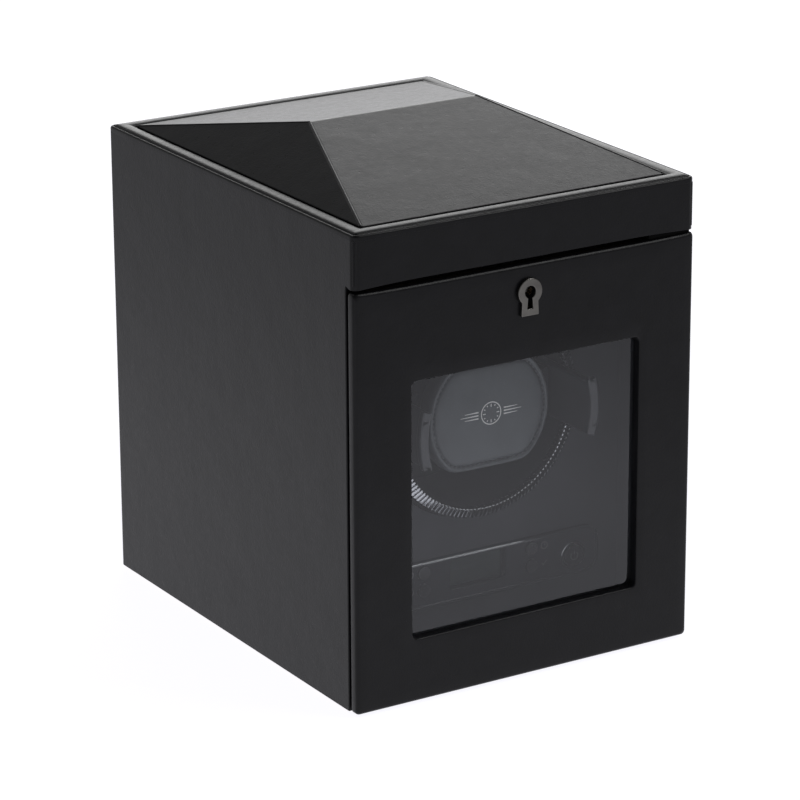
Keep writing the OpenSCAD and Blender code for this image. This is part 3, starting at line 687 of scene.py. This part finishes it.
def roof_cover():
    """Leather over the hipped roof, with rolled eaves and a fine bead on each hip."""
    half_x = ROOF_HIGH.x
    mid_y = (ROOF_LOW.y + ROOF_HIGH.y) / 2
    ridge = 39.5
    eave = RIM_HIGH.z - 0.2
    crest = ROOF_HIGH.z - 0.2
    bm = bmesh.new()
    corners = (
        (-half_x, ROOF_LOW.y), (half_x, ROOF_LOW.y), (half_x, ROOF_HIGH.y), (-half_x, ROOF_HIGH.y)
    )
    base, edge = [[bm.verts.new((x, y, z)) for x, y in corners] for z in (ROOF_LOW.z, eave)]
    left = bm.verts.new((-ridge, mid_y, crest))
    right = bm.verts.new((ridge, mid_y, crest))
    bm.faces.new(list(reversed(base)))
    for k in range(4):
        j = (k + 1) % 4
        bm.faces.new((base[k], base[j], edge[j], edge[k]))
    bm.faces.new((edge[0], edge[1], right, left))
    bm.faces.new((edge[2], edge[3], left, right))
    bm.faces.new((edge[1], edge[2], right))
    bm.faces.new((edge[3], edge[0], left))
    bmesh.ops.recalc_face_normals(bm, faces=bm.faces)
    hips = [e for e in bm.edges if max(v.co.z for v in e.verts) > eave + 1]
    bmesh.ops.bevel(
        bm, geom=hips, offset=1.1, segments=4, profile=0.5, affect="EDGES", clamp_overlap=True
    )
    bm.normal_update()
    eaves = [
        e for e in bm.edges
        if e.calc_face_angle(0) > math.radians(35) and min(v.co.z for v in e.verts) > ROOF_LOW.z + 1
    ]
    bmesh.ops.bevel(
        bm, geom=eaves, offset=0.35, segments=3, profile=0.5, affect="EDGES", clamp_overlap=True
    )
    roof = from_bmesh("roof_cover", bm, 50)
    low_x = CORE_HIGH.x
    low_z = eave - SKIN
    points = [(x, y, z) for z in (CORE_LOW.z - 3, low_z) for x, y in (
        (-low_x, CORE_LOW.y), (low_x, CORE_LOW.y), (low_x, CORE_HIGH.y), (-low_x, CORE_HIGH.y)
    )]
    points += [(-ridge + SKIN, mid_y, CORE_HIGH.z), (ridge - SKIN, mid_y, CORE_HIGH.z)]
    faces = [
        (0, 3, 2, 1), (0, 1, 5, 4), (1, 2, 6, 5), (2, 3, 7, 6), (3, 0, 4, 7),
        (4, 5, 9, 8), (6, 7, 8, 9), (5, 6, 9), (7, 4, 8),
    ]
    cut(roof, [mesh_object("cut_core", points, faces)])
    drop = Vector((0, 0, 0.42))
    ends = [Vector((-ridge, mid_y, crest)) - drop, Vector((ridge, mid_y, crest)) - drop]
    beads = []
    for x, y in corners:
        end = ends[0] if x < 0 else ends[1]
        foot = Vector((x, y, eave)) - drop
        beads.append(tube([foot.lerp(end, 0.012), foot.lerp(end, 0.5), end], 0.58))
    joined(roof, [mesh_object("bead", *bead) for bead in beads])
    finish_mesh(roof, 50)
    return piece(weighted(roof), "case", "black_leather", ["roof_leather"])


# ---------------------------------------------------------------- door

def slab_loops(inset, edge_roll, window_roll):
    """Closed loops round the door slab's section: over the outer edge, across the front, over
    the window's edge and back along the rear. A positive inset gives the space inside."""
    width = DOOR_HIGH.x - DOOR_LOW.x - 2 * inset
    height = DOOR_HIGH.z - DOOR_LOW.z - 2 * inset
    mid_z = (DOOR_HIGH.z + DOOR_LOW.z) / 2
    front = DOOR_LOW.y + inset
    rear = DOOR_HIGH.y - (0.6 if inset else 0.0)
    window = WINDOW + 2 * inset
    bow = 0.5
    loops = []

    def outer(trim, y):
        plan = rounded_rect(width - 2 * trim, height - 2 * trim, 1.6 + 0.6 * trim, 6, 24)
        loops.append([
            (x, y, mid_z + z + (bow * end_bow(x) if z > height / 2 - 4 else 0)) for x, z in plan
        ])

    def hole(trim, y):
        size = window + 2 * trim
        plan = rounded_rect(size, size, 2.6 + 0.5 * trim, 6, 24)
        loops.append([(x, y, WINDOW_Z + z) for x, z in plan])

    for trim, depth in quarter(edge_roll * 0.3):
        outer(trim, rear - depth)
    for trim, depth in reversed(quarter(edge_roll)):
        outer(trim, front + depth)
    first = loops[-1]
    hole(window_roll, front)
    last = loops.pop()
    for k in range(1, 6):
        loops.append([tuple(Vector(a).lerp(Vector(b), k / 6)) for a, b in zip(first, last)])
    for trim, depth in quarter(window_roll):
        hole(trim, front + depth)
    hole(0.0, rear)
    return loops


def door_cover():
    """Leather wrapped round the door board and into the window."""
    outside = loft(slab_loops(0.0, 1.7, 0.6), ring=True)
    inside = loft(slab_loops(SKIN, 0.3, 0.3), ring=True)
    cover = mesh_object("door_cover", *merged([outside, inside]), smooth_angle=60)
    cut(cover, [prism_xz("cut_key", keyhole(), DOOR_LOW.y - 2, DOOR_HIGH.y + 2)])
    finish_mesh(cover, 60)
    return piece(cover, "door", "black_leather", ["door_leather"])


def door_pane():
    """Glass bedded against the back of the door leather, its middle standing in the window."""
    y0, y1 = DOOR_HIGH.y + 0.03, GLASS_HIGH.y
    width = GLASS_HIGH.x - GLASS_LOW.x
    raised = WINDOW - 0.06
    loops = []
    for size, corner, y in (
        (raised - 0.3, 2.5, DOOR_LOW.y + 3.3), (raised, 2.6, DOOR_LOW.y + 3.45),
        (raised, 2.6, y0), (width - 0.8, 2.6, y0), (width, 2.6, y0 + 0.4),
        (width, 2.6, y1 - 0.4), (width - 0.8, 2.6, y1),
    ):
        loops.append([(x, y, WINDOW_Z + z) for x, z in rounded_rect(size, size, corner, 6)])
    glass = mesh_object("door_pane", *loft(loops, caps=True), smooth_angle=20)
    return piece(glass, "door", "door_glass", ["door_glass"])


def head_and_foot(head, neck, foot, drop, steps):
    """(x, z) points round a round head over a flared foot."""
    turn = math.asin(neck / head)
    points = []
    for k in range(steps + 1):
        angle = -math.pi / 2 + turn + (TAU - 2 * turn) * k / steps
        points.append((head * math.cos(angle), KEY_Z + head * math.sin(angle)))
    return points + [(-foot, KEY_Z - drop), (foot, KEY_Z - drop)]


def keyhole():
    return head_and_foot(head=2.5, neck=0.95, foot=1.35, drop=6.8, steps=24)


def keyhole_plate():
    """Burnished escutcheon with the keyhole in it."""
    points = head_and_foot(head=PLATE_HEAD, neck=3.75, foot=4.0, drop=9.6, steps=40)
    plate = prism_xz("keyhole_plate", points, PLATE_LOW.y, PLATE_HIGH.y)
    cut(plate, [prism_xz("cut_key", keyhole(), PLATE_LOW.y - 2, PLATE_HIGH.y + 2)])
    finish_mesh(plate, 40)
    edge_broken(plate, 0.28)
    return piece(plate, "door", "gunmetal", ["escutcheon"])


# ---------------------------------------------------------------- fascia, drum and cuff

def fascia_lip():
    """Raised lip round the control fascia, with a chamfered outer edge."""
    front = FASCIA_LOW.y
    width, height = FASCIA_HIGH.x - FASCIA_LOW.x, FASCIA_HIGH.z - FASCIA_LOW.z
    mid_x, mid_z = middle("fascia")
    loops = []
    for inset, y in (
        (0.02, front + 0.4), (0.02, front - 0.2), (0.54, front - 0.6), (0.9, front - 0.65),
        (1.25, front - 0.6), (1.45, front - 0.05), (1.45, front + 0.4),
    ):
        plan = rounded_rect(width - 2 * inset, height - 2 * inset, FASCIA_CORNER - inset, 8, 8)
        loops.append([(mid_x + x, y, mid_z + z) for x, z in plan])
    lip = mesh_object("fascia_lip", *loft(loops, ring=True), smooth_angle=20)
    return piece(lip, "case", "gloss_black")


def fluted_ring():
    """Coin-edged ring: flat-topped radial ribs on a coned face, over a plain band."""
    ribs = 144
    inner, outer = 40.6, RING_HIGH.x
    front, back = RING_LOW.y, RING_HIGH.y
    shell, step = 44.65, front + 3.5  # the ring's rear part lies round the drum's shell
    loops = []
    for k in range(4 * ribs):
        angle = TAU * (k // 4 + (0.0, 0.46, 0.56, 0.9)[k % 4]) / ribs
        low = 1.0 if k % 4 > 1 else 0.0
        section = [
            (inner + 0.5 * low, step),
            (inner + 0.5 * low, front + 0.42 + 0.6 * low),
            (inner + 0.12 + 0.4 * low, front + 0.13 + 0.7 * low),
            (inner + 0.55, front + 0.8 * low),
            (outer - 1.0, front + 1.25 + 0.75 * low),
            (outer - 0.25 - 0.3 * low, front + 1.6 + 0.5 * low),
            (outer - 0.4 * low, front + 2.0),
            (outer - 0.4 * low, back - 0.8),
            (outer - 0.4, back),
            (shell, back),
            (shell, step),
        ]
        loops.append([
            (r * math.cos(angle), y, DRUM_Z + r * math.sin(angle)) for r, y in section
        ])
    ring = mesh_object("fluted_ring", *loft(loops, ring=True), smooth_angle=12)
    return piece(ring, "drum", "ring_metal", ["drum_ring"])


def cuff_outline(inset, count=96):
    """(x, z) points round the cuff: round sides, flat top and bottom, soft corners."""
    radius = (PAD_HIGH.x - PAD_LOW.x) / 2 - inset
    flat = (PAD_HIGH.z - PAD_LOW.z) / 2 - inset
    power = 22.0
    points = []
    for k in range(count):
        angle = TAU * (k + 0.5) / count
        c, s = math.cos(angle), math.sin(angle)
        limit = flat / max(abs(s), 1e-6)
        r = (radius ** -power + limit ** -power) ** (-1 / power)
        points.append((r * c, DRUM_Z + r * s))
    return points


def cuff_cushion():
    """Padded front of the cuff: a rolled border, a sewn channel and a crowned panel."""
    front = PAD_LOW.y
    back = PAD_HIGH.y
    steps = [(1.2, back), (0.2, back - 1.0), (0.0, back - 2.5), (0.0, front + 4.2)]
    for k in range(1, 7):
        turn = math.pi / 2 * k / 6
        steps.append((1.3 * (1 - math.cos(turn)), front + 4.2 - 3.2 * math.sin(turn)))
    steps += [(1.9, front + 1.1), (2.25, front + 1.7), (2.45, front + 2.3), (2.65, front + 2.3)]
    steps += [(2.9, front + 1.8), (3.3, front + 1.3)]
    for k in range(1, 9):
        t = k / 8
        inset = 3.3 + 22.0 * (1 - math.cos(math.pi / 2 * t)) * 0.62 + 5.0 * t
        steps.append((inset, front + 1.3 - 1.22 * math.sin(math.pi / 2 * t) ** 0.8))
    loops = [[(x, y, z) for x, z in cuff_outline(inset)] for inset, y in steps]
    points, faces = loft(loops)
    n = len(loops[0])
    centre = len(points)
    points.append((0.0, front + 0.08, DRUM_Z))
    last = (len(loops) - 1) * n
    faces += [(last + k, last + (k + 1) % n, centre) for k in range(n)]
    faces.append(tuple(reversed(range(n))))
    cushion = mesh_object("cuff_cushion", points, faces, 70)
    return piece(cushion, "cuff", "pad_leather", ["cuff_pad"])


def cuff_stitches():
    """Thread along the sewn channel of the cushion."""
    line = cuff_outline(2.55, 480)
    y = PAD_LOW.y + 1.75
    pitch, length, radius, bulge = 2.1, 1.25, 0.3, 0.16
    stitches = []
    travelled, next_at = 0.0, 0.0
    for k, (x, z) in enumerate(line):
        nx, nz = line[(k + 1) % len(line)]
        travelled += math.hypot(nx - x, nz - z)
        if travelled < next_at:
            continue
        next_at += pitch
        along = Vector((nx - x, 0, nz - z)).normalized()
        side = Vector((0, 1, 0)).cross(along)
        rings = []
        for j in range(7):
            t = j / 6
            centre = Vector((x, y, z)) + along * (t - 0.5) * length
            centre.y -= bulge * math.sin(math.pi * t)
            size = radius * max(math.sin(math.pi * (0.08 + 0.84 * t)), 0.2)
            rings.append([
                tuple(centre + side * a + Vector((0, b, 0))) for a, b in circle(0, 0, size, 6)
            ])
        stitches.append(loft(rings, caps=True))
    thread = mesh_object("cuff_stitches", *merged(stitches), smooth_angle=60)
    return piece(thread, "cuff", "thread")


def cuff_spring_coils():
    """The two coil springs behind the cuff, made at one length; the real ones shorten as the saddle
    is pressed.
    """
    low, high = extent("cuff_springs")
    wire, radius, turns, steps = 0.45, 3.8, 5, 24
    start, rise = low.y + wire, high.y - low.y - 2 * wire
    offset = (high.z - low.z) / 2 - radius - wire
    coils = []
    for side in (-1, 1):
        axis = Vector((0, start, (low.z + high.z) / 2 + side * offset))
        rings = []
        for k in range(turns * steps + 1):
            turn = TAU * k / steps
            outward = Vector((math.cos(turn), 0, math.sin(turn)))
            along = Vector((-math.sin(turn), rise / turns / TAU / radius, math.cos(turn)))
            across = along.normalized().cross(outward)
            centre = axis + radius * outward + Vector((0, rise * k / turns / steps, 0))
            rings.append([
                tuple(centre + a * outward + b * across) for a, b in circle(0, 0, wire, 8)
            ])
        coils.append(loft(rings, caps=True))
    springs = mesh_object("cuff_spring_coils", *merged(coils), smooth_angle=60)
    piece(springs, "cuff", "steel", ["cuff_springs"])
    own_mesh(springs)


def on_surface(obj, points, lift):
    """(x, z) points laid on the front of an object, lifted towards the door."""
    mesh = obj.data
    tree = BVHTree.FromPolygons([v.co for v in mesh.vertices], [p.vertices for p in mesh.polygons])
    before = DOOR_LOW.y - 50
    laid = []
    for x, z in points:
        hit = tree.ray_cast(Vector((x, before, z)) * MM, Vector((0, 1, 0)))[0]
        laid.append((x, hit.y / MM - lift, z))
    return laid


def strip_mesh(bands):
    """Points (x, z) and faces of flat bands, each a list of (x, z, half width, nx, nz)."""
    points, faces = [], []
    for band in bands:
        base = len(points)
        for x, z, half, nx, nz in band:
            points += [(x - nx * half, z - nz * half), (x + nx * half, z + nz * half)]
        for k in range(len(band) - 1):
            a = base + 2 * k
            faces.append((a, a + 1, a + 3, a + 2))
    return points, faces


# In both bands, half is half the line's width. Angles are in degrees.
def arc_band(x, z, radius, start, end, half, steps=20):
    band = []
    for k in range(steps + 1):
        turn = math.radians(start + (end - start) * k / steps)
        c, s = math.cos(turn), math.sin(turn)
        band.append((x + radius * c, z + radius * s, half, c, s))
    return band


def line_band(x0, z0, x1, z1, half0, half1=None, steps=6):
    half1 = half0 if half1 is None else half1
    along = Vector((x1 - x0, z1 - z0)).normalized()
    band = []
    for k in range(steps + 1):
        t = k / steps
        half = half0 + (half1 - half0) * t
        band.append((x0 + (x1 - x0) * t, z0 + (z1 - z0) * t, half, -along.y, along.x))
    return band


def dial_mark(cushion):
    """A plain dial of twelve ticks between two tapering rules, printed on the cushion."""
    z = DRUM_Z + 0.5
    bands = [arc_band(0, z, 4.6, 0, 360, 0.22, 48)]
    for k in range(12):
        turn = TAU * k / 12
        c, s = math.cos(turn), math.sin(turn)
        inner = 2.6 if k % 3 == 0 else 3.2
        bands.append(line_band(inner * c, z + inner * s, 3.9 * c, z + 3.9 * s, 0.2, steps=2))
    for side in (-1, 1):
        for drop, length in ((1.3, 6.5), (0.0, 8.5), (-1.3, 6.5)):
            bands.append(
                line_band(side * 6.0, z + drop, side * (6.0 + length), z + drop, 0.3, 0.08, 10)
            )
    flat, faces = strip_mesh(bands)
    mark = mesh_object("dial_mark", on_surface(cushion, flat, 0.04), faces)
    return piece(mark, "cuff", "print_silver")


def key_marks():
    """Printed signs beside the keys: turn both ways, turns, hours, confirm and power."""
    bands = []

    def arrow(x, z, radius, start, end):
        bands.append(arc_band(x, z, radius, start, end, 0.14))
        turn = math.radians(end)
        sign = 1 if end > start else -1
        c, s = math.cos(turn), math.sin(turn)
        tip = (x + radius * c - sign * s * 0.9, z + radius * s + sign * c * 0.9)
        bands.append(line_band(x + radius * c, z + radius * s, *tip, 0.45, 0.02, 2))

    for node in ("mode_button", "turns_button", "delay_button", "set_button"):
        x, z = middle(node)
        sx = x + math.copysign(6.4, x)
        if node == "mode_button":
            arrow(sx, z, 1.5, 200, 40)
            arrow(sx, z, 1.5, 20, -140)
        elif node == "turns_button":
            arrow(sx, z, 1.5, 120, 420)
        elif node == "delay_button":
            bands.append(arc_band(sx, z, 1.5, 0, 360, 0.14))
            bands.append(line_band(sx, z, sx, z + 1.1, 0.13))
            bands.append(line_band(sx, z, sx + 0.8, z, 0.13))
        else:
            bands.append(line_band(sx - 1.3, z + 0.1, sx - 0.4, z - 0.9, 0.15))
            bands.append(line_band(sx - 0.5, z - 0.9, sx + 1.4, z + 1.1, 0.15))
    flat, faces = strip_mesh(bands)
    signs = mesh_object("key_marks", on_surface(frame["nodes"]["fascia"], flat, 0.02), faces)
    piece(signs, "case", "print_grey")
    x, z = middle("power_button")
    bands = [arc_band(x, z, 1.7, 125, 415, 0.2, 30), line_band(x, z + 0.5, x, z + 2.3, 0.2)]
    flat, faces = strip_mesh(bands)
    sign = mesh_object("power_mark", on_surface(frame["nodes"]["power_button"], flat, 0.02), faces)
    piece(sign, "power_button", "print_grey")


# ---------------------------------------------------------------- build

dress_cad()
case_cover()
rim_cover()
roof_cover()
door_cover()
door_pane()
keyhole_plate()
fascia_lip()
fluted_ring()
dial_mark(cuff_cushion())
cuff_stitches()
cuff_spring_coils()
key_marks()


# ---------------------------------------------------------------- floor, light and camera

def stage_floor():
    """A pale floor that glows, brightest in a wide pool round the box."""
    n = Nodes("floor")
    paint = n.new("ShaderNodeBsdfDiffuse", {"Color": rgba(0.25, 0.25, 0.25)})
    place = n.place()

    def pool(direction, near, far, low):
        """From 1 at the box to low far out in that direction; near and far are in metres."""
        away = n.new("ShaderNodeVectorMath", {0: place, 1: direction}, operation="DOT_PRODUCT")
        return n.new(
            "ShaderNodeMapRange",
            {
                "Value": away.outputs["Value"], "From Min": near, "From Max": far,
                "To Min": 1.0, "To Max": low,
            },
            interpolation_type="SMOOTHSTEP",
        ).outputs["Result"]

    front_right = pool((0.53, -0.85, 0.0), 0.22, 0.6, 0.6)
    back_left = pool((-0.85, 0.53, 0.0), 0.2, 0.62, 0.62)
    strength = n.calc("MULTIPLY", n.calc("MULTIPLY", front_right, back_left), 0.95)
    glow = n.new("ShaderNodeEmission", {"Color": rgba(0.985, 0.98, 1.03), "Strength": strength})
    both = n.new("ShaderNodeAddShader", {0: paint.outputs[0], 1: glow.outputs[0]})
    n.surface(both.outputs[0])
    size = 12000.0
    points = [(-size, -size, 0), (size, -size, 0), (size, size, 0), (-size, size, 0)]
    floor = mesh_object("stage_floor", points, [(0, 1, 2, 3)])
    floor.data.materials.append(n.material)


def sky():
    """White low down at the back, dimmer overhead and at the front."""
    world = bpy.data.worlds.new("studio")
    bpy.context.scene.world = world
    world.use_nodes = True
    tree = world.node_tree
    tree.nodes.clear()

    def ramp(socket, values):
        node = tree.nodes.new("ShaderNodeMapRange")
        node.interpolation_type = "SMOOTHSTEP"
        for name, value in zip(("From Min", "From Max", "To Min", "To Max"), values):
            node.inputs[name].default_value = value
        tree.links.new(socket, node.inputs["Value"])
        return node.outputs["Result"]

    place = tree.nodes.new("ShaderNodeTexCoord")
    split = tree.nodes.new("ShaderNodeSeparateXYZ")
    tree.links.new(place.outputs["Generated"], split.inputs[0])
    strength = tree.nodes.new("ShaderNodeMath")
    strength.operation = "MULTIPLY"
    tree.links.new(ramp(split.outputs["Z"], (0.05, 0.45, 1.1, 0.32)), strength.inputs[0])
    tree.links.new(ramp(split.outputs["Y"], (-0.6, 0.5, 0.55, 1.0)), strength.inputs[1])
    shade = tree.nodes.new("ShaderNodeBackground")
    tree.links.new(strength.outputs[0], shade.inputs["Strength"])
    output = tree.nodes.new("ShaderNodeOutputWorld")
    tree.links.new(shade.outputs[0], output.inputs[0])


def softbox(name, towards, size, radiance):
    """A square lamp of that radiance, 1.5 m from the box's middle in the direction given."""
    data = bpy.data.lights.new(name, "AREA")
    data.shape = "SQUARE"
    data.size = size * MM
    data.energy = radiance * math.pi * (size * MM) ** 2
    lamp = placed(name, data)
    back = Vector(towards).normalized()
    lamp.location = (Vector((0, 0, 100)) + back * 1500) * MM
    lamp.rotation_euler = back.to_track_quat("Z", "Y").to_euler()


def camera():
    """The camera, with the place and angles that the box's edges give."""
    data = bpy.data.cameras.new("camera")
    data.lens = 172.87
    data.sensor_width = 36.0
    data.clip_end = 50.0
    cam = placed("camera", data)
    cam.location = Vector((-791.7, -1282.4, 600.3)) * MM
    pitch, yaw, roll = 18.731, 31.762, -0.262
    turn = Euler((math.radians(90 - pitch), 0, math.radians(-yaw))).to_matrix()
    turn = turn @ Matrix.Rotation(math.radians(roll), 3, "Z")
    cam.rotation_euler = turn.to_euler()
    bpy.context.scene.camera = cam


stage_floor()
sky()
softbox("back_right", (0.54, 0.74, 0.42), 900, 2.1)
softbox("front_right_top", (0.50, -0.30, 0.78), 480, 5.0)
softbox("overhead_left", (-0.42, 0.33, 0.85), 300, 6.0)
softbox("front_right_low", (0.50, -0.60, 0.63), 420, 5.0)
camera()
bpy.context.scene.view_settings.view_transform = "Standard"
